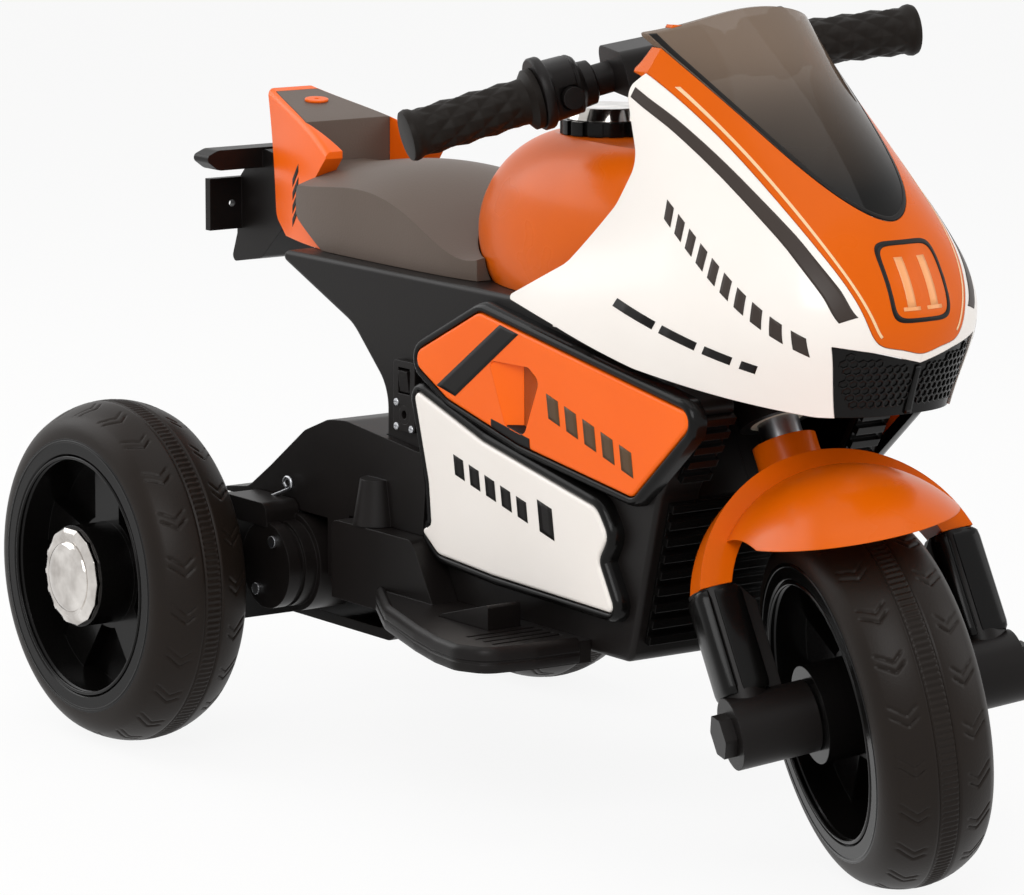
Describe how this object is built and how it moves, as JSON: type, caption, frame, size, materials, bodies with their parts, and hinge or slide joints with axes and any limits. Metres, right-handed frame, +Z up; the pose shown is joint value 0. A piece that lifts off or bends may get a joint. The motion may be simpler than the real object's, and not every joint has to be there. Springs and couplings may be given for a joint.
{
  "type": "kids electric motorbike",
  "caption": "Ride-on electric motorbike for a small child: steered front wheel in a fork, two rear wheels of which one is driven, moulded fairing, saddle, footboards and a foot pedal.",
  "frame": {"origin": "on the ground under the middle of the whole object", "axes": "+Z up, +Y towards the rear, +X to the rider's left"},
  "size_m": [0.432, 0.8182, 0.519],
  "materials": {
    "white": "warm white gloss",
    "orange": "glossy moulded orange",
    "deep_orange": "glossy deep orange",
    "black": "satin black",
    "seat": "grained dark warm grey",
    "tyre": "matt brown-black",
    "chrome": "bright plated",
    "steel": "zinc plated",
    "screen": "smoked, nearly opaque",
    "gear": "natural nylon",
    "dark": "dark grey case",
    "board": "green board",
    "grip": "faceted black"
  },
  "bodies": {
    "chassis": {"lower_panels": "white", "fairing_left": "white", "fairing_right": "white", "side_panels": "orange", "tail_cover": "orange", "nose_panel": "deep_orange", "tank_cover": "deep_orange", "body_left": "black", "body_right": "black", "belly_grille": "black", "head_tube": "black", "rear_frame": "black", "rear_bonnet": "black", "gearbox_left": "black", "gearbox_right": "black", "motor": "black", "plate_bracket": "black", "cap_ring": "black", "lamp_grille": "black", "footrest_left": "black", "footrest_right": "black", "port_plate": "black", "charge_socket": "black", "seat": "seat", "tail_insert": "seat", "filler_cap": "chrome", "rear_axle": "steel", "axle_nuts": "steel", "pedal_pin": "steel", "gearbox_screws": "steel", "windscreen": "screen", "head_bushes": "gear", "battery": "dark", "speaker": "dark", "control_board": "board"},
    "steering": {"fork_legs": "black", "fork_crown": "deep_orange", "fender": "deep_orange", "front_axle": "steel", "axle_bolts": "steel", "steering_stem": "steel", "bar_clamp": "black", "handlebar": "steel", "grips": "grip", "controls": "black"},
    "front_wheel": {"front_rim": "black", "front_tyre": "tyre"},
    "rear_wheel_right": {"rim_right": "black", "tyre_right": "tyre", "hub_cap_right": "chrome", "drive_gear": "gear"},
    "rear_wheel_left": {"rim_left": "black", "tyre_left": "tyre", "hub_cap_left": "chrome"},
    "idler": {"idler_gear": "gear"},
    "motor_rotor": {"motor_pinion": "gear"},
    "pedal": {"foot_pedal": "black"},
    "horn_button": {"button_right": "black"},
    "music_button": {"button_left": "black"},
    "power_switch": {"power_rocker": "black"}
  },
  "joints": [
    {"name": "steer", "type": "hinge", "parent": "chassis", "child": "steering", "pos_m": [0, -0.15185, 0.34], "axis": [0, 0.4741, 0.8805], "range_deg": [-7, 49]},
    {"name": "front_wheel_spin", "type": "hinge", "parent": "steering", "child": "front_wheel", "pos_m": [-0.00717, -0.29455, 0.11437], "axis": [0.9336, -0.3155, 0.1699], "continuous": true},
    {"name": "rear_right_spin", "type": "hinge", "parent": "chassis", "child": "rear_wheel_right", "pos_m": [-0.17, 0.297, 0.115], "axis": [1, 0, 0], "continuous": true},
    {"name": "rear_left_spin", "type": "hinge", "parent": "chassis", "child": "rear_wheel_left", "pos_m": [0.17, 0.297, 0.115], "axis": [1, 0, 0], "continuous": true},
    {"name": "idler_spin", "type": "hinge", "parent": "chassis", "child": "idler", "pos_m": [-0.076, 0.24036, 0.12296], "axis": [1, 0, 0], "continuous": true},
    {"name": "motor_spin", "type": "hinge", "parent": "chassis", "child": "motor_rotor", "pos_m": [-0.076, 0.20754, 0.12641], "axis": [1, 0, 0], "continuous": true},
    {"name": "pedal_press", "type": "hinge", "parent": "chassis", "child": "pedal", "pos_m": [-0.106, -0.006, 0.1245], "axis": [1, 0, 0], "range_deg": [0, 8], "stiffness_Nm_per_rad": 2, "springref_deg": -5.73},
    {"name": "horn_press", "type": "slide", "parent": "steering", "child": "horn_button", "axis": [0.3155, 0.9485, 0.0277], "range_m": [0, 0.0025], "stiffness_N_per_m": 400, "springref_m": -0.001},
    {"name": "music_press", "type": "slide", "parent": "steering", "child": "music_button", "axis": [0.3155, 0.9485, 0.0277], "range_m": [0, 0.0025], "stiffness_N_per_m": 400, "springref_m": -0.001},
    {"name": "power_toggle", "type": "hinge", "parent": "chassis", "child": "power_switch", "pos_m": [-0.0848, 0.084, 0.264], "axis": [0, 1, 0], "range_deg": [0, 14]}
  ],
  "couplings": [
    {"joint": "idler_spin", "follows": "rear_right_spin", "ratio": -1.6},
    {"joint": "motor_spin", "follows": "rear_right_spin", "ratio": 3.2}
  ]
}
